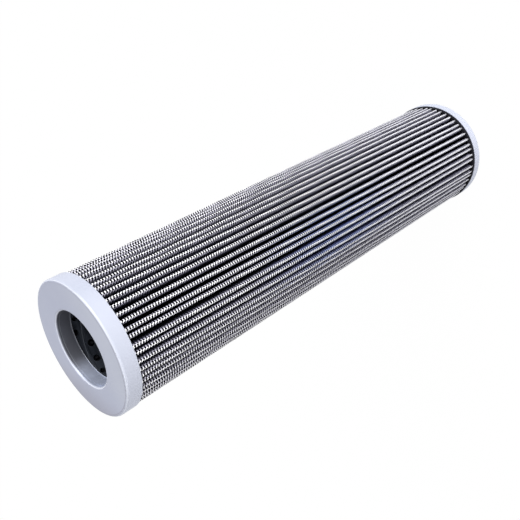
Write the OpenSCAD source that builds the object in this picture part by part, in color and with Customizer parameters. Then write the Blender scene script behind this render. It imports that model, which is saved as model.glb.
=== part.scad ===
// Pleated hydraulic filter element, standing on its closed end cap.
// The axis is Z, the base is at Z = 0, and the open end is at the top.

/* [Element] */
// Length between the outer faces of the two end caps
element_length = 335; // [150:1:400]
// Outer diameter of both end caps
cap_d = 78; // [72:0.5:84]

/* [End caps] */
// Height of the open cap's rim
open_rim = 9; // [8.2:0.1:14]
// Height of the closed cap's rim
closed_rim = 7.6; // [5:0.1:12]
// Thickness of the sheet metal of both caps
cap_sheet = 0.5; // [0.4:0.05:0.8]
// Outside radius of the bend between a cap's face and its rim
rim_bend = 1.2; // [1:0.1:2]

/* [Bore] */
// Diameter of the bore through the open cap's collar
bore_d = 43.6; // [41:0.1:44.4]
// Depth of the collar below the open cap's face
collar_depth = 8.9; // [7:0.1:12]
// Outside radius of the bend at the mouth of the bore
mouth_bend = 1.2; // [1:0.1:2]
// Depth below the face of the fine ring groove in the collar
ring_groove_at = 2.3; // [2.2:0.1:4]
// Width of the fine ring groove
ring_groove_w = 0.3; // [0.2:0.05:0.6]
// Depth of the fine ring groove into the collar
ring_groove_depth = 0.15; // [0.1:0.05:0.25]
// Height of the turned-in lip at the collar's inner end
collar_lip = 0.2; // [0.1:0.05:0.25]

/* [Core tube] */
// Clearance between the collar and the core tube around it
core_clearance = 0.2; // [0.1:0.05:0.5]
// Wall thickness of the core tube
core_wall = 1; // [0.8:0.1:1.5]
// Diameter of the punched holes
hole_d = 4; // [3:0.1:5]
// Number of holes in one turn of a row
holes_per_turn = 16; // [8:1:18]
// Distance along the axis between neighbouring rows of holes
row_pitch = 7.8; // [7:0.1:14]
// Rows of holes across the wound strip, which is also the number of helices
rows_per_strip = 4; // [2:1:5]
// Plain length left at the core tube's foot, in the closed cap
core_plain_foot = 15.5; // [10:0.5:30]
// Plain length left at the core tube's head, in the open cap
core_plain_head = 7.7; // [7.5:0.1:20]
// Angle about the axis of the first hole in each row
core_turn = 18.7; // [0:0.1:22.5]

/* [Pleated pack] */
// Number of pleats
pleat_count = 56; // [44:1:61]
// Clearance between the pleat crests and the caps' rims
crest_clearance = 0.1; // [0.1:0.05:0.5]
// Clearance between the core tube and the pleats around it
core_gap = 0.2; // [0.1:0.05:0.5]
// Outside radius of the bend at each crest
crest_bend = 1.05; // [1.05:0.05:1.3]
// Inside radius of the outer mesh at each valley
valley_bend = 0.2; // [0.1:0.05:0.22]
// Thickness of the outer wire mesh
outer_mesh_t = 0.3; // [0.25:0.01:0.32]
// Thickness of the black drainage layer
drainage_t = 0.12; // [0.08:0.01:0.14]
// Thickness of the filter medium
media_t = 0.25; // [0.2:0.01:0.28]
// Thickness of the support fleece
support_t = 0.08; // [0.06:0.01:0.1]
// Thickness of the inner wire mesh
inner_mesh_t = 0.14; // [0.1:0.01:0.16]

/* [Potting] */
// Depth of the potting in the open cap, below the cap's sheet
open_potting = 6.5; // [4:0.1:7]
// Height of the potting ring that shows above the closed cap's rim
potting_ring_h = 1.8; // [1:0.1:4]
// How far the potting ring stands out past the pleat crests
potting_ring_proud = 0.3; // [0.2:0.05:0.5]
// Potting left under each end of the core tube
core_bedding = 1; // [0.5:0.1:1.5]
// How much further than the core tube the potting reaches under the pleats
pleat_bedding = 0.5; // [0.2:0.1:1]

/* [Hidden] */
$fn = 96;

cap_r = cap_d / 2;
bore_r = bore_d / 2;
face_z = element_length;
inside_top_z = face_z - cap_sheet;
inside_bottom_z = cap_sheet;

collar_r = bore_r + cap_sheet;
core_ri = collar_r + core_clearance;
core_ro = core_ri + core_wall;
core_bottom_z = inside_bottom_z + core_bedding;
core_top_z = inside_top_z - core_bedding;

potting_r = cap_r - cap_sheet;
pack_ro = potting_r - crest_clearance;
pack_ri = core_ro + core_gap;
pack_bottom_z = core_bottom_z + pleat_bedding;
pack_top_z = core_top_z - pleat_bedding;

// Depths of the layers' faces below the outer face of the pack
drainage_at = outer_mesh_t;
media_at = drainage_at + drainage_t;
support_at = media_at + media_t;
inner_mesh_at = support_at + support_t;
pack_t = inner_mesh_at + inner_mesh_t;

// Centres of the crest and valley bends, and the direction square to a pleat's flank
half_pleat = 180 / pleat_count;
crest_centre = [pack_ro - crest_bend, 0];
valley_centre = (pack_ri + valley_bend + pack_t) * [cos(half_pleat), sin(half_pleat)];
centre_line = valley_centre - crest_centre;
flank_normal = atan2(centre_line.y, centre_line.x) - acos((crest_bend + valley_bend) / norm(centre_line));
crest_steps = 5;
valley_steps = 3;

hole_lead = row_pitch * rows_per_strip;
hole_step = 360 / holes_per_turn;
hole_rise = hole_lead / holes_per_turn;
first_hole_z = core_bottom_z + core_plain_foot;
last_hole_z = core_top_z - core_plain_head;
overshoot = 1;

// Points along an arc about a centre
function arc(centre, r, from, to, steps) =
    [for (i = [0:steps]) let (a = from + (to - from) * i / steps) centre + r * [cos(a), sin(a)]];

// A point turned about the axis
function turned(p, a) = [p.x * cos(a) - p.y * sin(a), p.x * sin(a) + p.y * cos(a)];

// One crest and the valley after it, at a depth below the outer face of the pack
function pleat_points(depth) = concat(
    arc(crest_centre, crest_bend - depth, -flank_normal, flank_normal, crest_steps),
    arc(valley_centre, valley_bend + depth, flank_normal + 180, 2 * half_pleat + 180 - flank_normal,
        valley_steps));

// The closed outline of all pleats at a depth below the outer face of the pack
function pleated_outline(depth) =
    [for (k = [0:pleat_count - 1]) for (p = pleat_points(depth)) turned(p, 2 * half_pleat * k)];

// A pleated sheet between two depths below the outer face of the pack
module pleated_section(from, to) {
    difference() {
        polygon(pleated_outline(from));
        polygon(pleated_outline(to));
    }
}

module pleated_layer(at, thickness) {
    translate([0, 0, pack_bottom_z])
        linear_extrude(pack_top_z - pack_bottom_z)
            pleated_section(at, at + thickness);
}

// The space that the pack takes up in the potting, from one height to another
module pack_slot(from_z, to_z) {
    translate([0, 0, from_z])
        linear_extrude(to_z - from_z)
            pleated_section(0, pack_t);
}

// A ring about the axis
module ring(ri, ro, from_z, to_z) {
    translate([0, 0, from_z])
        linear_extrude(to_z - from_z)
            difference() {
                circle(ro);
                circle(ri);
            }
}

// A half section between the radii x0 and x1, with its two upper corners rounded
module rounded_head(x0, x1, bottom, top, r0, r1) {
    translate([x0, bottom])
        square([r0, top - r0 - bottom]);
    translate([x0 + r0, bottom])
        square([x1 - r1 - x0 - r0, top - bottom]);
    translate([x1 - r1, bottom])
        square([r1, top - r1 - bottom]);
    translate([x0 + r0, top - r0])
        circle(r0);
    translate([x1 - r1, top - r1])
        circle(r1);
}

// A half section from the axis out to r, with its lower corner rounded
module rounded_foot(r, bottom, top, bend) {
    translate([0, bottom])
        square([r - bend, top - bottom]);
    translate([0, bottom + bend])
        square([r, top - bottom - bend]);
    translate([r - bend, bottom + bend])
        circle(bend);
}

// The inside of the open cap, from a height up to the underside of its face
module open_cap_inside(from_z) {
    rounded_head(collar_r, potting_r, from_z, inside_top_z, mouth_bend - cap_sheet, rim_bend - cap_sheet);
}

// The inside of the closed cap, from its floor up to a height
module closed_cap_inside(to_z) {
    rounded_foot(potting_r, inside_bottom_z, to_z, rim_bend - cap_sheet);
}

// Open cap: rim, face and collar drawn from one sheet
module near_end_cap() {
    rim_bottom = face_z - open_rim;
    collar_bottom = face_z - collar_depth;
    section_bottom = min(rim_bottom, collar_bottom);
    middle_r = (collar_r + potting_r) / 2;
    color([0.80, 0.83, 0.90])
        rotate_extrude()
            difference() {
                union() {
                    difference() {
                        rounded_head(bore_r, cap_r, section_bottom, face_z, mouth_bend, rim_bend);
                        open_cap_inside(section_bottom - overshoot);
                    }
                    // The turned-in lip at the inner end of the collar
                    translate([bore_r - collar_lip + cap_sheet / 2, collar_bottom + cap_sheet / 2])
                        circle(d = cap_sheet);
                }
                // The collar and the rim may end at different depths
                translate([0, section_bottom - overshoot])
                    square([middle_r, collar_bottom - section_bottom + overshoot]);
                translate([middle_r, section_bottom - overshoot])
                    square([middle_r, rim_bottom - section_bottom + overshoot]);
                translate([bore_r - overshoot, face_z - ring_groove_at - ring_groove_w / 2])
                    square([overshoot + ring_groove_depth, ring_groove_w]);
            }
}

// Closed cap: a shallow cup that the element stands on
module far_end_cap() {
    color([0.80, 0.83, 0.90])
        rotate_extrude()
            difference() {
                rounded_foot(cap_r, 0, closed_rim, rim_bend);
                closed_cap_inside(closed_rim + overshoot);
            }
}

// Core tube with punched holes along helical rows
module core_tube() {
    color([0.42, 0.43, 0.46])
        difference() {
            ring(core_ri, core_ro, core_bottom_z, core_top_z);
            for (row = [0:rows_per_strip - 1])
                for (i = [0:floor((last_hole_z - first_hole_z - row * row_pitch) / hole_rise)])
                    translate([0, 0, first_hole_z + row * row_pitch + i * hole_rise])
                        rotate([0, 90, core_turn + i * hole_step])
                            translate([0, 0, core_ri - overshoot])
                                cylinder(d = hole_d, h = core_wall + 2 * overshoot);
        }
}

module outer_mesh() {
    color([0.78, 0.79, 0.82])
        pleated_layer(0, outer_mesh_t);
}

module drainage_layer() {
    color([0.07, 0.07, 0.08])
        pleated_layer(drainage_at, drainage_t);
}

module filter_media() {
    color([0.93, 0.92, 0.88])
        pleated_layer(media_at, media_t);
}

module support_layer() {
    color([0.88, 0.88, 0.90])
        pleated_layer(support_at, support_t);
}

module inner_mesh() {
    color([0.70, 0.71, 0.74])
        pleated_layer(inner_mesh_at, inner_mesh_t);
}

// Potting in the open cap, with the core tube and the pleats bedded in it
module near_potting() {
    potting_bottom = inside_top_z - open_potting;
    color([0.05, 0.05, 0.06])
        difference() {
            rotate_extrude()
                open_cap_inside(potting_bottom);
            ring(core_ri, core_ro, potting_bottom - overshoot, core_top_z);
            pack_slot(potting_bottom - overshoot, pack_top_z);
        }
}

// Potting in the closed cap, with a ring that stands above the cap's rim
module far_potting() {
    potting_top = closed_rim + potting_ring_h;
    color([0.05, 0.05, 0.06])
        difference() {
            union() {
                rotate_extrude()
                    closed_cap_inside(closed_rim);
                translate([0, 0, closed_rim])
                    cylinder(r = pack_ro + potting_ring_proud, h = potting_ring_h);
            }
            translate([0, 0, core_bottom_z])
                cylinder(r = core_ro, h = potting_top);
            pack_slot(pack_bottom_z, potting_top + overshoot);
        }
}

near_end_cap();
far_end_cap();
core_tube();
outer_mesh();
drainage_layer();
filter_media();
support_layer();
inner_mesh();
near_potting();
far_potting();
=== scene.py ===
import math
import random

import bmesh
import bpy
import numpy as np
from mathutils import Matrix, Vector


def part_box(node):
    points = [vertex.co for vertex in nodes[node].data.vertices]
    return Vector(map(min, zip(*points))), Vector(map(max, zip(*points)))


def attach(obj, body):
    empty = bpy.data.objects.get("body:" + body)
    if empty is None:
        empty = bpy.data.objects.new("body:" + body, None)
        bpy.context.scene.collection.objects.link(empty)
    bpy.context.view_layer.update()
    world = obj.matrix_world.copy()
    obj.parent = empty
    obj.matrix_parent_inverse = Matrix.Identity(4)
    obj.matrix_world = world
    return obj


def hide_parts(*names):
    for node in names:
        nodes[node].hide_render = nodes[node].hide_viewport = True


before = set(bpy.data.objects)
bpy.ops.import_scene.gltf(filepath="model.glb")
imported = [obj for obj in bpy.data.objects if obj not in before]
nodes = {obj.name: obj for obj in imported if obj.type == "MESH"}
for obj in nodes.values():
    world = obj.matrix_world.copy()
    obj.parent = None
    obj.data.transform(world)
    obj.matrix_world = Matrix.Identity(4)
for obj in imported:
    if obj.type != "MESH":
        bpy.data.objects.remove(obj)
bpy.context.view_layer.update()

MM = 0.001

# Heights and radii of the solids
OPEN_FACE_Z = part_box("near_end_cap")[1].z
OPEN_RIM_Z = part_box("near_end_cap")[0].z
CAP_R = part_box("near_end_cap")[1].x
CLOSED_RIM_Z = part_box("far_end_cap")[1].z
PACK_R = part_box("outer_mesh")[1].x
PACK_FOOT_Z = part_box("outer_mesh")[0].z
PACK_HEAD_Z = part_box("outer_mesh")[1].z
CORE_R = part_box("core_tube")[1].x
CORE_FOOT_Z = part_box("core_tube")[0].z
CORE_HEAD_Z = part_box("core_tube")[1].z
POTTING_TOP_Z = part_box("far_potting")[1].z
POTTING_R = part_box("far_potting")[1].x
BORE_R = 21.8 * MM
COLLAR_DEPTH = 8.9 * MM
CAP_SHEET = 0.5 * MM
CORE_WALL = 1 * MM

# The pleated layers' thicknesses, from the outside in, are those of the solids
OUTER_MESH_T = 0.3 * MM
DRAINAGE_T = 0.12 * MM
MEDIA_T = 0.25 * MM
SUPPORT_T = 0.08 * MM
INNER_MESH_T = 0.14 * MM
PACK_T = OUTER_MESH_T + DRAINAGE_T + MEDIA_T + SUPPORT_T + INNER_MESH_T
# How deep the outer mesh's cloth lies under the crowns of its wires
CLOTH_DEPTH = 0.14 * MM

# The pleats: their count and bends are those of the solids
PLEATS = 56
HALF_PLEAT = math.pi / PLEATS
CREST_BEND = 1.05 * MM
VALLEY_BEND = 0.2 * MM
CORE_GAP = 0.2 * MM
CREST_CENTRE = PACK_R - CREST_BEND
VALLEY_CENTRE = CORE_R + CORE_GAP + VALLEY_BEND + PACK_T

# The whole pack was turned a little along its length when it was wound
PACK_TWIST = math.radians(0.0241) / MM
# How far a crest may lean to either side of its even place
CREST_LEAN = math.radians(0.95)
# How much closer than even two neighbouring crests may come
CLOSEST_CRESTS = math.radians(1.5)
# How much a crest's lean may change from halfway along the pack to either end
CREST_DRIFT = math.radians(0.5)
LEAN_SEED = 11

# The wire cloth: a plain weave whose lengthwise wires run slightly askew
WARP_PITCH = 2.5 * MM
WEFT_PITCH = 0.805 * MM
WARPS_OVER_CREST = 4
CLOTH_WIDTH = WARPS_OVER_CREST * WARP_PITCH
CLOTH_SKEW = 0.08
# How far the cloth's wires move on from one crest to the next
CLOTH_SHIFT = 2.9 * MM
CLOTH_STARTS = np.array([(CLOTH_SHIFT * k) % CLOTH_WIDTH for k in range(PLEATS)])

# One crown of a wire: a small grid with a raised body between two thin tails
KNUCKLE_LENGTH = 2.95 * MM
KNUCKLE_WIDTH = 1.03 * MM
KNUCKLE_HEIGHT = 0.2 * MM
KNUCKLE_COLUMNS = 4
KNUCKLE_ROWS = 2
KNUCKLE_POINTS = (KNUCKLE_COLUMNS + 1) * (KNUCKLE_ROWS + 1)
# Height of a crown's foot over the pack's outer face
KNUCKLE_FOOT = -0.16 * MM
# How the body and the tails differ from the even grid
BODY_REACH = 1.36
TAIL_CORNER_REACH = 0.92
TAIL_WIDTH = 0.36
TAIL_HEIGHT = 0.3
# The pack's crests are shared out between this many pieces
CREST_GROUPS = 6


def flank_angle():
    """Direction, from the crest's own radius, that is square to a pleat's flank."""
    across_x = VALLEY_CENTRE * math.cos(HALF_PLEAT) - CREST_CENTRE
    across = Vector((across_x, VALLEY_CENTRE * math.sin(HALF_PLEAT)))
    return math.atan2(across.y, across.x) - math.acos((CREST_BEND + VALLEY_BEND) / across.length)


FLANK = flank_angle()
CREST_ARC = CREST_BEND * FLANK


def crest_places(seed):
    """Each crest's lean halfway along the pack, and how much it changes towards either end."""
    draw = random.Random(seed)
    leans = []
    for _ in range(PLEATS):
        lean = draw.uniform(-CREST_LEAN, CREST_LEAN)
        if leans:
            lean = max(lean, leans[-1] - CLOSEST_CRESTS)
        leans.append(lean)
    drifts = [draw.uniform(-CREST_DRIFT, CREST_DRIFT) for _ in range(PLEATS)]
    return np.array(leans), np.array(drifts)


LEANS, DRIFTS = crest_places(LEAN_SEED)


def place_on_pleat(pleat, x, y, z):
    """Moves points from a pleat's own section into the pack; pleat may be an array, as x, y and z are."""
    along = (OPEN_RIM_Z - z) / (OPEN_RIM_Z - POTTING_TOP_Z)
    crest_turn = LEANS[pleat] + DRIFTS[pleat] * (2 * along - 1)
    lean = crest_turn * PACK_R / (PACK_R - VALLEY_CENTRE)
    from_foot = x - VALLEY_CENTRE
    leant_x = VALLEY_CENTRE + from_foot * np.cos(lean) - y * np.sin(lean)
    leant_y = from_foot * np.sin(lean) + y * np.cos(lean)
    turn = 2 * HALF_PLEAT * pleat + PACK_TWIST * (z - OPEN_RIM_Z)
    return (
        leant_x * np.cos(turn) - leant_y * np.sin(turn),
        leant_x * np.sin(turn) + leant_y * np.cos(turn),
    )


def crest_surface(arc, height):
    """Section point at an arc length from the crest's top, at a height above the pack's outer face."""
    side = np.sign(arc)
    bent = np.minimum(np.abs(arc), CREST_ARC)
    down = np.abs(arc) - bent
    angle = bent / CREST_BEND
    radius = CREST_BEND + height
    x = CREST_CENTRE + radius * np.cos(angle) - down * math.sin(FLANK)
    y = side * (radius * np.sin(angle) + down * math.cos(FLANK))
    return x, y


def pleat_section(depth, crest_steps):
    """Section points of one pleat from valley to valley, with the arc length at each."""
    points = []
    radius = CREST_BEND - depth
    for i in range(crest_steps + 1):
        angle = FLANK * (2 * i / crest_steps - 1)
        x = CREST_CENTRE + radius * math.cos(angle)
        points.append((x, radius * math.sin(angle), angle * CREST_BEND))
    valley = Vector((math.cos(HALF_PLEAT), math.sin(HALF_PLEAT))) * VALLEY_CENTRE
    across = valley - Vector((CREST_CENTRE, 0))
    flank_length = math.sqrt(across.length_squared - (CREST_BEND + VALLEY_BEND) ** 2)
    radius = VALLEY_BEND + depth
    valley_step = (FLANK - HALF_PLEAT) * 2 / 3
    for i in range(2):
        angle = FLANK + math.pi - valley_step * i
        x = valley.x + radius * math.cos(angle)
        y = valley.y + radius * math.sin(angle)
        arc = CREST_ARC + flank_length + radius * valley_step * i
        points.append((x, y, arc))
        points.insert(0, (x, -y, -arc))
    return np.array(points)


def mesh_object(name, bm, smooth=True):
    """Turns a finished bmesh into a piece of the object."""
    mesh = bpy.data.meshes.new(name)
    bm.to_mesh(mesh)
    bm.free()
    for polygon in mesh.polygons:
        polygon.use_smooth = smooth
    piece = bpy.data.objects.new(name, mesh)
    bpy.context.scene.collection.objects.link(piece)
    return piece


def coordinates(mesh):
    """The places of a mesh's points, as rows of x, y and z."""
    flat = np.zeros(len(mesh.vertices) * 3, np.float32)
    mesh.vertices.foreach_get("co", flat)
    return flat.reshape(-1, 3).astype(float)


def set_coordinates(mesh, points):
    """Moves a mesh's points to new places."""
    mesh.vertices.foreach_set("co", np.asarray(points, np.float32).ravel())
    mesh.update()


def pleated_sheet(name, depth, thickness, crest_steps, slices):
    """A closed pleated sheet between two depths below the pack's outer face."""
    heights = np.linspace(PACK_FOOT_Z, PACK_HEAD_Z, slices + 1).tolist()
    outer = pleat_section(depth, crest_steps)
    inner = pleat_section(depth + thickness, crest_steps)
    rings = [(outer, PACK_R, z) for z in heights] + [(inner, CORE_R, z) for z in reversed(heights)]
    per_pleat = len(outer)
    count = per_pleat * PLEATS
    bm = bmesh.new()
    verts = bmesh.ops.create_circle(bm, segments=count, radius=PACK_R)["verts"]
    bmesh.ops.translate(bm, verts=verts, vec=(0, 0, heights[0]))
    edges = list(dict.fromkeys(e for v in verts for e in v.link_edges))
    for _, radius, z in rings[1:] + rings[:1]:
        grown = bmesh.ops.extrude_edge_only(bm, edges=edges)["geom"]
        edges = [e for e in grown if isinstance(e, bmesh.types.BMEdge)]
        for v in grown:
            if isinstance(v, bmesh.types.BMVert):
                flat = v.co.xy.normalized() * radius
                v.co = (flat.x, flat.y, z)
    bm.verts.ensure_lookup_table()
    total = count * len(rings)
    bmesh.ops.weld_verts(bm, targetmap={bm.verts[total + i]: bm.verts[i] for i in range(count)})
    bmesh.ops.recalc_face_normals(bm, faces=bm.faces)
    piece = mesh_object(name, bm)
    pleat = np.arange(count) // per_pleat
    place = np.arange(count) % per_pleat
    points = []
    for section, _, z in rings:
        level = np.full(count, z)
        x, y = place_on_pleat(pleat, section[place, 0], section[place, 1], level)
        points.append(np.stack([x, y, level], 1))
    set_coordinates(piece.data, np.concatenate(points))
    arcs = np.concatenate([section[place, 2] for section, _, _ in rings])
    return piece, arcs, np.tile(pleat, len(rings))


def weave_map(piece, arcs, pleats):
    """Gives a sheet the UV map of the cloth's wires: one unit across is a warp, one unit up is a weft."""
    mesh = piece.data
    corners = np.zeros(len(mesh.loops), int)
    mesh.loops.foreach_get("vertex_index", corners)
    z = coordinates(mesh)[:, 2]
    across = (arcs - CLOTH_SKEW * z - CLOTH_STARTS[pleats]) / WARP_PITCH
    values = np.stack([across, z / WEFT_PITCH], 1)[corners]
    layer = mesh.uv_layers.new(name="weave")
    layer.data.foreach_set("uv", values.astype(np.float32).ravel())


def knuckle_pair():
    """Two wires' crowns where they pass over a warp: one over this warp, the next over its neighbour."""
    bm = bmesh.new()
    for step in range(2):
        grid = bmesh.ops.create_grid(bm, x_segments=KNUCKLE_COLUMNS, y_segments=KNUCKLE_ROWS, size=0.5)
        verts = grid["verts"]
        # The grid is one unit long and wide, with its middle row as the ridge
        for v in verts:
            on_ridge = abs(v.co.y) < 0.1
            in_body = abs(v.co.x) < 0.3
            if in_body:
                v.co.x *= BODY_REACH
            elif not on_ridge:
                v.co.x *= TAIL_CORNER_REACH
            if not in_body:
                v.co.y *= TAIL_WIDTH
            if on_ridge:
                v.co.z = 1.0 if in_body else TAIL_HEIGHT
        bmesh.ops.scale(bm, verts=verts, vec=(KNUCKLE_LENGTH, KNUCKLE_WIDTH, KNUCKLE_HEIGHT))
        bmesh.ops.translate(bm, verts=verts, vec=(WARP_PITCH * step, WEFT_PITCH * step, 0))
    return bm


def repeat(piece, count, step):
    """Adds a row of copies to a piece."""
    row = piece.modifiers.new("row", "ARRAY")
    row.use_relative_offset = False
    row.use_constant_offset = True
    row.constant_offset_displace = step
    row.count = count


def apply_modifiers(piece):
    """Makes a piece's modifiers part of its mesh."""
    bpy.context.view_layer.update()
    shaped = piece.evaluated_get(bpy.context.evaluated_depsgraph_get())
    mesh = bpy.data.meshes.new_from_object(shaped)
    piece.modifiers.clear()
    old = piece.data
    piece.data = mesh
    bpy.data.meshes.remove(old)
    mesh.name = piece.name


def wire_crests(name, first_pleat, pleat_total):
    """The crowns of the cloth's wires over some neighbouring crests."""
    foot_gap = 0.3 * MM
    head_tuck = 0.8 * MM
    foot_z = POTTING_TOP_Z + foot_gap
    head_z = OPEN_RIM_Z + head_tuck
    pair_pitch = 2 * WEFT_PITCH
    rows = int((head_z - foot_z) / pair_pitch)
    piece = mesh_object(name, knuckle_pair())
    repeat(piece, WARPS_OVER_CREST // 2, (2 * WARP_PITCH, 0, 0))
    repeat(piece, rows, (0, pair_pitch, 0))
    repeat(piece, pleat_total, (0, 0, 0))
    apply_modifiers(piece)
    points = coordinates(piece.data)
    knuckle = points.reshape(pleat_total, -1, KNUCKLE_POINTS, 3)
    centre = knuckle[..., :2].mean(2)
    pleat = first_pleat + np.arange(pleat_total).reshape(-1, 1)
    first_row = math.ceil(foot_z / pair_pitch) * 2
    z = centre[..., 1] + first_row * WEFT_PITCH
    arc = centre[..., 0] + CLOTH_SKEW * z + CLOTH_STARTS[pleat]
    arc = (arc + CLOTH_WIDTH / 2) % CLOTH_WIDTH - CLOTH_WIDTH / 2
    local_arc = knuckle[..., 0] - centre[..., :1]
    arc = arc[..., None] + local_arc
    z = z[..., None] + knuckle[..., 1] - centre[..., 1:] - CLOTH_SKEW * local_arc
    x, y = crest_surface(arc, KNUCKLE_FOOT + knuckle[..., 2])
    x, y = place_on_pleat(np.broadcast_to(pleat[..., None], x.shape), x, y, z)
    set_coordinates(piece.data, np.stack([x, y, z], -1).reshape(-1, 3))
    return piece


def lathe(name, outline, steps):
    """A closed solid of revolution about the axis, from its half section."""
    bm = bmesh.new()
    verts = [bm.verts.new((x, 0, z)) for x, z in outline]
    edges = [bm.edges.new(pair) for pair in zip(verts, verts[1:] + verts[:1])]
    bmesh.ops.spin(
        bm,
        geom=verts + edges,
        cent=(0, 0, 0),
        axis=(0, 0, 1),
        angle=2 * math.pi,
        steps=steps,
        use_merge=True,
    )
    bmesh.ops.remove_doubles(bm, verts=bm.verts, dist=0.001 * MM)
    bmesh.ops.recalc_face_normals(bm, faces=bm.faces)
    return mesh_object(name, bm)


def potting_ring():
    """The resin in the closed cap: its floor, and the ring round the pleats' ends."""
    edge = 0.25 * MM
    rim = POTTING_R - 0.1 * MM
    wall = CAP_R - CAP_SHEET
    corner = 0.8 * MM
    outline = [
        (0, CAP_SHEET),
        (wall - corner, CAP_SHEET),
        (wall, CAP_SHEET + corner),
        (wall, CLOSED_RIM_Z),
        (POTTING_R, CLOSED_RIM_Z),
        (POTTING_R, POTTING_TOP_Z - edge),
        (rim, POTTING_TOP_Z - edge / 3),
        (rim - edge, POTTING_TOP_Z),
        (CORE_R, POTTING_TOP_Z),
        (CORE_R, CORE_FOOT_Z),
        (0, CORE_FOOT_Z),
    ]
    return lathe("potting_ring", outline, steps=128)


def lock_seam():
    """The folded seam that winds up the inside of the core tube, halfway between two rows of holes."""
    lead = 31.2 * MM
    width = 1.9 * MM
    flat_share = 0.36
    proud = 0.22 * MM
    sunk = 0.05 * MM
    seam_z = 322.7 * MM
    seam_angle = math.radians(178.4)
    steps_per_turn = 32
    inner = CORE_R - CORE_WALL
    turns = (CORE_HEAD_Z - CORE_FOOT_Z - width) / lead
    steps = int(turns * steps_per_turn)
    start_z = CORE_FOOT_Z + width / 2
    start_angle = seam_angle - (seam_z - start_z) / lead * 2 * math.pi
    bm = bmesh.new()
    section = [
        (inner + sunk, -0.5),
        (inner - proud, -flat_share),
        (inner - proud, flat_share),
        (inner + sunk, 0.5),
    ]
    verts = [bm.verts.new((x, 0, start_z + h * width)) for x, h in section]
    face = bm.faces.new(verts)
    bmesh.ops.spin(
        bm,
        geom=[face],
        cent=(0, 0, 0),
        axis=(0, 0, 1),
        dvec=(0, 0, lead / steps_per_turn),
        angle=2 * math.pi * steps / steps_per_turn,
        steps=steps,
    )
    bmesh.ops.rotate(bm, verts=bm.verts, cent=(0, 0, 0), matrix=Matrix.Rotation(start_angle, 3, "Z"))
    bmesh.ops.recalc_face_normals(bm, faces=bm.faces)
    return mesh_object("lock_seam", bm, smooth=False)


class Paint:
    """A material being mixed: its nodes, and the shader that they feed."""

    def __init__(self, name, color, roughness, metallic=0.0, specular=0.5):
        self.material = bpy.data.materials.new(name)
        self.material.use_nodes = True
        self.nodes = self.material.node_tree.nodes
        self.links = self.material.node_tree.links
        self.shader = self.nodes["Principled BSDF"]
        self.shader.inputs["Base Color"].default_value = (*color, 1)
        self.shader.inputs["Roughness"].default_value = roughness
        self.shader.inputs["Metallic"].default_value = metallic
        self.shader.inputs["Specular IOR Level"].default_value = specular
        self.place = self.nodes.new("ShaderNodeTexCoord").outputs["Object"]

    def feed(self, output, socket):
        """Links an output to one of the shader's inputs."""
        self.links.new(output, self.shader.inputs[socket])

    def node(self, kind, inputs=(), **settings):
        """A node with some inputs linked or set, by name or number."""
        made = self.nodes.new(kind)
        for key, value in settings.items():
            setattr(made, key, value)
        for key, value in dict(inputs).items():
            if isinstance(value, bpy.types.NodeSocket):
                self.links.new(value, made.inputs[key])
            else:
                made.inputs[key].default_value = value
        return made

    def math(self, operation, *values):
        """The result of a sum on one, two or three values."""
        return self.node("ShaderNodeMath", enumerate(values), operation=operation).outputs[0]

    def times(self, a, b):
        """The product of two values."""
        return self.math("MULTIPLY", a, b)

    def vector_math(self, operation, vector, other, output):
        """One output of a sum on two vectors."""
        made = self.node("ShaderNodeVectorMath", {0: vector, 1: other}, operation=operation)
        return made.outputs[output]

    def noise(self, scale, detail=2.0, roughness=0.5, place=None):
        """A cloudy value between 0 and 1."""
        inputs = {"Vector": place or self.place, "Scale": scale, "Detail": detail, "Roughness": roughness}
        return self.node("ShaderNodeTexNoise", inputs).outputs["Fac"]

    def ramp(self, fac, low, high, color_a, color_b):
        """Blends from one colour to another as fac goes from low to high."""
        ramp = self.node("ShaderNodeValToRGB", {"Fac": fac})
        first, last = ramp.color_ramp.elements
        first.position, last.position = low, high
        first.color, last.color = (*color_a, 1), (*color_b, 1)
        return ramp.outputs["Color"]

    def band(self, value, low, high, to_min=0.0, to_max=1.0):
        """A value from low to high, mapped smoothly to another range."""
        inputs = {"Value": value, "From Min": low, "From Max": high, "To Min": to_min, "To Max": to_max}
        return self.node("ShaderNodeMapRange", inputs, interpolation_type="SMOOTHSTEP").outputs["Result"]

    def mix(self, fac, a, b):
        """Blends from colour a to colour b as fac goes from 0 to 1."""
        mix = self.node("ShaderNodeMix", data_type="RGBA")
        for index, value in ((0, fac), (6, a), (7, b)):
            if isinstance(value, bpy.types.NodeSocket):
                self.links.new(value, mix.inputs[index])
            else:
                mix.inputs[index].default_value = value if index == 0 else (*value, 1)
        return mix.outputs[2]

    def bump(self, height, strength, distance):
        """Gives the surface a fine relief."""
        bump = self.node("ShaderNodeBump", {"Height": height, "Strength": strength, "Distance": distance})
        self.feed(bump.outputs["Normal"], "Normal")

    def radius(self):
        """Distance from the element's axis."""
        flat = self.vector_math("MULTIPLY", self.place, (1, 1, 0), "Vector")
        return self.vector_math("LENGTH", flat, (0, 0, 0), "Value")

    def depth(self, start, end):
        """0 on the pleats' crests, down to a starting depth, rising to 1 at another depth."""
        return self.band(self.radius(), PACK_R - start, PACK_R - end)

    def near(self, value, middle, reach):
        """1 where a value is at its middle, fading to 0 at a reach to either side."""
        away = self.math("ABSOLUTE", self.math("SUBTRACT", value, middle))
        return self.band(away, reach, 0.0)

    def along(self, direction):
        """Distance from the axis along a direction."""
        return self.vector_math("DOT_PRODUCT", self.place, direction, "Value")

    def height(self):
        """Height over the closed cap's outer face."""
        return self.node("ShaderNodeSeparateXYZ", {0: self.place}).outputs["Z"]


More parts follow.
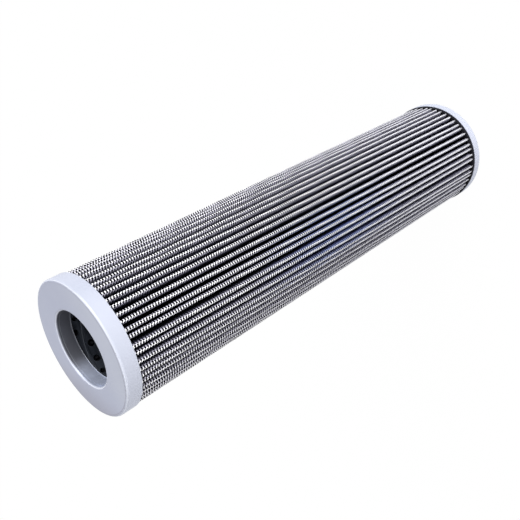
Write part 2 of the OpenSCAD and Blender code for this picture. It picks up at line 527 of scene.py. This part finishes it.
# Sides of the caps, as directions from the axis, that set where their painted light, shade and highlights
# fall; the low side is low in the camera's view
SUNLIT_SIDE = (0.966, -0.26, 0)
PAINTED_LIGHT_SIDE = (0.94, -0.34, 0)
FACE_SHADE_SIDE = (-0.71, -0.71, 0)
CREASE_SHADE_SIDE = (0.74, -0.67, 0)
LIP_HIGHLIGHT_SIDE = (0.8, -0.6, 0)
LOW_SIDE = (0, -1, 0)
# Pale colour of the painted highlights on the caps' bends and on the collar's step and lip
PAINTED_PALE_HIGHLIGHT = (0.80, 0.82, 0.88)


def cap_coat(paint, height, radius, on_face):
    """The caps' pale paint: a little cloudy and specked, with painted shade on the face and in a crease by
    the rim, painted light on the band, and painted highlights along the bends.
    """
    coat = paint.ramp(paint.noise(28, 3), 0.3, 0.7, (0.355, 0.378, 0.458), (0.39, 0.413, 0.50))
    speck = paint.band(paint.noise(420, 1), 0.765, 0.80)
    coat = paint.mix(speck, coat, (0.24, 0.25, 0.29))
    # Painted shade: the face darker away from the soft lamp's side
    face_painted_shade = paint.times(on_face, paint.band(paint.along(SUNLIT_SIDE), 32 * MM, 4 * MM))
    coat = paint.mix(face_painted_shade, coat, (0.321, 0.343, 0.441))
    # Painted light: the rim's band paler towards one side
    on_band = paint.band(radius, CAP_R - 0.6 * MM, CAP_R - 0.2 * MM)
    band_painted_light = paint.times(on_band, paint.band(paint.along(PAINTED_LIGHT_SIDE), 20 * MM, 37 * MM, 0.0, 0.85))
    coat = paint.mix(band_painted_light, coat, (0.425, 0.447, 0.53))
    # Painted shade: the face darker towards a second side
    face_side_painted_shade = paint.times(on_face, paint.band(paint.along(FACE_SHADE_SIDE), 18 * MM, 38 * MM, 0.0, 0.85))
    coat = paint.mix(face_side_painted_shade, coat, (0.24, 0.245, 0.315))
    # Painted shade: a dark line in the crease just inside the rim, stronger towards one side
    crease_painted_shade = paint.times(on_face, paint.near(radius, CAP_R - 1.55 * MM, 0.45 * MM))
    crease_painted_shade = paint.times(crease_painted_shade, paint.band(paint.along(CREASE_SHADE_SIDE), -20 * MM, 30 * MM, 0.1, 0.8))
    coat = paint.mix(crease_painted_shade, coat, (0.20, 0.195, 0.25))
    # Painted highlights: a pale line along the bends at the face's edges, and one on the bore's lip towards
    # one side
    rim = paint.times(paint.near(height, OPEN_FACE_Z - 0.3 * MM, 0.26 * MM), 0.4)
    lip_highlight = paint.near(radius, BORE_R + 0.55 * MM, 0.5 * MM)
    lip_highlight = paint.times(lip_highlight, paint.band(paint.along(LIP_HIGHLIGHT_SIDE), -10 * MM, 16 * MM, 0.0, 0.42))
    return paint.mix(paint.math("MAXIMUM", rim, lip_highlight), coat, PAINTED_PALE_HIGHLIGHT)


def collar_steel(paint, height):
    """Dull bare metal on the collar inside the bore, with painted light low down, painted shade high up and
    painted highlights on its step and lip.
    """
    # Painted light and shade: the collar brighter low down and darker high up
    low = paint.band(paint.along(LOW_SIDE), 0.0, 18 * MM)
    steel = paint.mix(low, (0.105, 0.109, 0.13), (0.52, 0.57, 0.72))
    steel = paint.mix(paint.band(paint.noise(90, 2), 0.3, 0.7, 0.0, 0.3), steel, (0.12, 0.127, 0.157))
    # Painted highlights: pale lines on the collar's step and on its inner lip
    step = paint.near(height, OPEN_FACE_Z - 2.2 * MM, 0.25 * MM)
    lip_highlight = paint.near(height, OPEN_FACE_Z - COLLAR_DEPTH + 0.1 * MM, 0.3 * MM)
    painted_highlights = paint.times(paint.math("MAXIMUM", paint.times(step, 0.35), lip_highlight), 0.8)
    return paint.mix(painted_highlights, steel, PAINTED_PALE_HIGHLIGHT)


def cap_finish():
    """Satin pale blue-grey paint on drawn sheet, worn to dull metal on the collar inside the bore."""
    paint = Paint("cap_finish", (0.38, 0.40, 0.48), 0.3, specular=0.8)
    height = paint.height()
    radius = paint.radius()
    on_face = paint.band(height, OPEN_FACE_Z - 0.3 * MM, OPEN_FACE_Z - 0.05 * MM)
    inside = paint.band(radius, BORE_R + 0.8 * MM, BORE_R + 0.2 * MM)
    below = paint.band(height, OPEN_FACE_Z - 0.3 * MM, OPEN_FACE_Z - 1.0 * MM)
    bare = paint.times(inside, below)
    coat = cap_coat(paint, height, radius, on_face)
    paint.feed(paint.mix(bare, coat, collar_steel(paint, height)), "Base Color")
    paint.feed(paint.times(bare, 0.6), "Metallic")
    paint.feed(paint.band(paint.noise(60, 3), 0.3, 0.7, 0.40, 0.47), "Roughness")
    paint.bump(paint.noise(900, 2), 0.05, 0.02 * MM)
    return paint.material


def core_steel():
    """Dull rolled steel strip, dark and darkened further as painted shade for the inside of the bore, with
    scuffs along the winding.
    """
    steel = Paint("core_steel", (0.07, 0.075, 0.085), 0.4, metallic=0.3)
    squeeze = steel.node("ShaderNodeMapping", {"Vector": steel.place, "Scale": (1, 1, 9)}).outputs["Vector"]
    streak = steel.noise(60, 4, place=squeeze)
    steel.feed(steel.ramp(streak, 0.3, 0.72, (0.011, 0.0135, 0.019), (0.033, 0.039, 0.052)), "Base Color")
    steel.feed(steel.band(streak, 0.2, 0.8, 0.36, 0.55), "Roughness")
    steel.bump(streak, 0.15, 0.03 * MM)
    return steel.material


def mesh_wire():
    """Bright coated wire, a little uneven from crown to crown and duller towards the closed end, with
    painted shade down the flanks and into the valleys and a painted blue reflection along one side.
    """
    wire = Paint("mesh_wire", (0.9, 0.9, 0.93), 0.3, metallic=0.1)
    shade = wire.noise(330, 2)
    bright = wire.ramp(shade, 0.35, 0.6, (0.95, 0.95, 0.97), (1.0, 1.0, 1.0))
    far = wire.band(wire.height(), 300 * MM, 60 * MM)
    bright = wire.mix(far, bright, (0.78, 0.78, 0.82))
    # Painted reflection: a blue tint on the flanks and valleys along one side, halfway along the pack
    blue_painted_reflection = wire.band(wire.along((0.93, -0.36, 0)), 32 * MM, 36.5 * MM)
    blue_painted_reflection = wire.times(blue_painted_reflection, wire.near(wire.height(), 170 * MM, 85 * MM))
    # Painted shade: the wires greyer down the flanks and near black deep in the valleys, darker towards the
    # closed end
    side = wire.mix(far, (0.51, 0.50, 0.59), (0.32, 0.315, 0.40))
    side = wire.mix(blue_painted_reflection, side, (0.25, 0.31, 0.56))
    deep_painted_shade = wire.mix(far, (0.065, 0.065, 0.10), (0.04, 0.04, 0.075))
    deep_painted_shade = wire.mix(blue_painted_reflection, deep_painted_shade, (0.05, 0.07, 0.25))
    painted_flank_shading = wire.mix(wire.depth(0.08 * MM, 0.5 * MM), bright, side)
    wire.feed(wire.mix(wire.depth(0.7 * MM, 2.8 * MM), painted_flank_shading, deep_painted_shade), "Base Color")
    wire.feed(wire.band(wire.noise(700, 1), 0.3, 0.7, 0.28, 0.42), "Roughness")
    shine = wire.band(wire.radius(), PACK_R - 1.0 * MM, PACK_R - 0.2 * MM, 0.08, 0.5)
    wire.feed(shine, "Specular IOR Level")
    return wire.material


def woven_sheet():
    """The cloth between the crowns: lengthwise wires and wire backs over black fabric, with a painted
    highlight on the crests and painted shade in the valleys.
    """
    cloth = Paint("woven_sheet", (0.05, 0.05, 0.055), 0.9, specular=0.0)
    weave = cloth.node("ShaderNodeUVMap", uv_map="weave").outputs["UV"]
    split = cloth.node("ShaderNodeSeparateXYZ", {0: weave})
    wave_across = cloth.math("COSINE", cloth.times(split.outputs["X"], math.pi))
    wave_along = cloth.math("COSINE", cloth.times(split.outputs["Y"], math.pi))
    over = cloth.math("MULTIPLY_ADD", cloth.times(wave_across, wave_along), 0.5, 0.5)
    weft = cloth.math("POWER", cloth.math("ABSOLUTE", wave_along), 2.2)
    warp = cloth.math("POWER", cloth.math("ABSOLUTE", wave_across), 5.0)
    weft_seen = cloth.times(weft, cloth.band(over, 0.15, 0.8))
    warp_seen = cloth.times(warp, cloth.band(over, 0.75, 0.2))
    wires = cloth.math("MAXIMUM", weft_seen, cloth.times(warp_seen, 0.6))
    color = cloth.ramp(wires, 0.25, 0.8, (0.005, 0.005, 0.006), (0.02, 0.02, 0.024))
    # Painted highlight: the cloth pale on the crests, more so towards the closed end
    on_crest = cloth.band(cloth.radius(), PACK_R - 0.5 * MM, PACK_R - 0.2 * MM)
    crest_painted_highlight = cloth.times(on_crest, cloth.band(cloth.height(), 230 * MM, 40 * MM, 0.0, 0.6))
    color = cloth.mix(crest_painted_highlight, color, (0.62, 0.62, 0.66))
    # Painted shade: the cloth darker down the flanks and in the valleys
    cloth_painted_shade = cloth.mix(cloth.depth(0.35 * MM, 1.0 * MM), color, cloth.mix(0.5, color, (0.01, 0.01, 0.014)))
    cloth.feed(cloth.mix(cloth.depth(1.0 * MM, 2.6 * MM), cloth_painted_shade, (0.012, 0.012, 0.016)), "Base Color")
    cloth.bump(wires, 0.9, 0.2 * MM)
    return cloth.material


def plain_fabric(name, dark, light, roughness):
    """A felted layer of the pack."""
    fabric = Paint(name, light, roughness)
    fibre = fabric.noise(1400, 4, 0.7)
    fabric.feed(fabric.ramp(fibre, 0.3, 0.7, dark, light), "Base Color")
    fabric.bump(fibre, 0.3, 0.05 * MM)
    return fabric.material


def inner_wire():
    """The wire cloth on the pack's inner side, near black and without gloss as painted shade for what is
    seen through the core's holes.
    """
    wire = Paint("inner_wire", (0.01, 0.01, 0.012), 0.7, specular=0.0)
    grain = wire.noise(1100, 2)
    wire.feed(wire.ramp(grain, 0.35, 0.65, (0.002, 0.002, 0.003), (0.012, 0.012, 0.014)), "Base Color")
    wire.bump(grain, 0.6, 0.08 * MM)
    return wire.material


def potting():
    """Black cast resin, glossy where it set free."""
    resin = Paint("potting", (0.012, 0.012, 0.015), 0.5, specular=0.04)
    cloud = resin.noise(120, 3)
    resin.feed(resin.ramp(cloud, 0.3, 0.7, (0.006, 0.006, 0.008), (0.014, 0.014, 0.018)), "Base Color")
    resin.feed(resin.band(cloud, 0.3, 0.7, 0.5, 0.65), "Roughness")
    resin.bump(resin.noise(240, 2), 0.25, 0.1 * MM)
    return resin.material


def give(piece, material):
    """Makes a material the only one on a piece."""
    piece.data.materials.clear()
    piece.data.materials.append(material)


def finish_piece(piece, material, replaced=()):
    """Gives a piece its material and its body, and hides the nodes that it stands for."""
    give(piece, material)
    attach(piece, "root")
    if replaced:
        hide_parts(*replaced)


def build_element():
    """Gives the plain solids their materials, and builds the pieces that stand for the others."""
    cap = cap_finish()
    steel = core_steel()
    wire = mesh_wire()
    resin = potting()
    give(nodes["near_end_cap"], cap)
    give(nodes["far_end_cap"], cap)
    give(nodes["core_tube"], steel)
    give(nodes["near_potting"], resin)

    cloth, arcs, pleats = pleated_sheet(
        "woven_cloth", CLOTH_DEPTH, OUTER_MESH_T - CLOTH_DEPTH, crest_steps=10, slices=10
    )
    weave_map(cloth, arcs, pleats)
    finish_piece(cloth, woven_sheet(), ["outer_mesh"])
    black = plain_fabric("black_layer", (0.01, 0.01, 0.012), (0.03, 0.03, 0.034), 0.9)
    media = plain_fabric("media", (0.78, 0.77, 0.72), (0.90, 0.89, 0.85), 0.95)
    fleece = plain_fabric("fleece", (0.76, 0.76, 0.79), (0.88, 0.88, 0.90), 0.9)
    depth = OUTER_MESH_T
    for node, slot, thickness, material in (
        ("drainage_layer", "black_layer", DRAINAGE_T, black),
        ("filter_media", "media", MEDIA_T, media),
        ("support_layer", "fleece", SUPPORT_T, fleece),
        ("inner_mesh", "inner_wire", INNER_MESH_T, inner_wire()),
    ):
        layer, _, _ = pleated_sheet(node + "_pleated", depth, thickness, crest_steps=6, slices=4)
        finish_piece(layer, material, [node])
        depth += thickness

    first = 0
    for group in range(CREST_GROUPS):
        total = (PLEATS - first) // (CREST_GROUPS - group)
        crests = wire_crests(f"wire_crests_{group + 1}", first, total)
        finish_piece(crests, wire, ["outer_mesh"])
        first += total

    finish_piece(potting_ring(), resin, ["far_potting"])
    finish_piece(lock_seam(), steel)


def add_camera():
    """The photograph's viewpoint, found from the outlines of the caps and the bore."""
    view_turn = math.radians(-2.6)
    turn = Matrix.Rotation(view_turn, 3, "Z")
    right = turn @ Vector((0.53052, -0.48724, -0.69365))
    up = turn @ Vector((0.28334, 0.87316, -0.39663))
    back = turn @ Vector((0.79892, 0.01388, 0.60128))
    place = turn @ Vector((0.32837, 0, 0.45519))
    camera = bpy.data.objects.new("camera", bpy.data.cameras.new("camera"))
    camera.data.sensor_width = 36
    camera.data.lens = 45.919
    camera.data.clip_start = 0.01
    camera.matrix_world = Matrix.Translation(place) @ Matrix((right, up, back)).transposed().to_4x4()
    bpy.context.scene.collection.objects.link(camera)
    bpy.context.scene.camera = camera


# The room's strength as a light, and as a background that the eye and shiny metal see
ROOM_LIGHT = 0.45
ROOM_AS_SEEN = 1.0
# How much of the floor is plain white to the eye; the rest takes the shadow
FLOOR_WHITE_SHARE = 0.985


def seen_directly(nodes_of, links_of):
    """1 for camera, glossy and transmission rays, as a socket."""
    path = nodes_of.new("ShaderNodeLightPath")
    total = path.outputs["Is Camera Ray"]
    for name in ("Is Glossy Ray", "Is Transmission Ray"):
        both = nodes_of.new("ShaderNodeMath")
        both.operation = "MAXIMUM"
        links_of.new(total, both.inputs[0])
        links_of.new(path.outputs[name], both.inputs[1])
        total = both.outputs[0]
    return total


def add_floor():
    """A plain pale floor that shows white and keeps a faint shadow."""
    bm = bmesh.new()
    bmesh.ops.create_grid(bm, x_segments=1, y_segments=1, size=4)
    floor = mesh_object("floor", bm)
    material = bpy.data.materials.new("floor")
    material.use_nodes = True
    tree = material.node_tree
    tree.nodes.clear()
    output = tree.nodes.new("ShaderNodeOutputMaterial")
    plain = tree.nodes.new("ShaderNodeBsdfDiffuse")
    plain.inputs["Color"].default_value = (0.9, 0.9, 0.9, 1)
    white = tree.nodes.new("ShaderNodeEmission")
    white.inputs["Color"].default_value = (1, 1, 1, 1)
    share = tree.nodes.new("ShaderNodeMath")
    share.operation = "MULTIPLY"
    share.inputs[1].default_value = FLOOR_WHITE_SHARE
    tree.links.new(seen_directly(tree.nodes, tree.links), share.inputs[0])
    mix = tree.nodes.new("ShaderNodeMixShader")
    tree.links.new(share.outputs[0], mix.inputs[0])
    tree.links.new(plain.outputs[0], mix.inputs[1])
    tree.links.new(white.outputs[0], mix.inputs[2])
    tree.links.new(mix.outputs[0], output.inputs["Surface"])
    floor.data.materials.append(material)


def add_light():
    """An even white room, a large soft lamp above and in front, and a weaker one on the low side."""
    world = bpy.data.worlds.new("studio")
    bpy.context.scene.world = world
    world.use_nodes = True
    tree = world.node_tree
    background = tree.nodes["Background"]
    strength = tree.nodes.new("ShaderNodeMix")
    strength.inputs[2].default_value = ROOM_LIGHT
    strength.inputs[3].default_value = ROOM_AS_SEEN
    tree.links.new(seen_directly(tree.nodes, tree.links), strength.inputs[0])
    background.inputs["Color"].default_value = (1, 1, 1, 1)
    tree.links.new(strength.outputs[0], background.inputs["Strength"])
    for name, energy, spread, direction in (
        ("soft_lamp", 4.2, 50, (0.70, 0.58, 0.42)),
        ("fill_lamp", 1.7, 80, (0.50, -0.85, 0.15)),
    ):
        lamp = bpy.data.lights.new(name, "SUN")
        lamp.energy = energy
        lamp.angle = math.radians(spread)
        lamp_object = bpy.data.objects.new(name, lamp)
        lamp_object.rotation_euler = Vector(direction).to_track_quat("Z", "Y").to_euler()
        bpy.context.scene.collection.objects.link(lamp_object)


build_element()
add_camera()
add_floor()
add_light()

bpy.context.scene.view_settings.view_transform = "Standard"
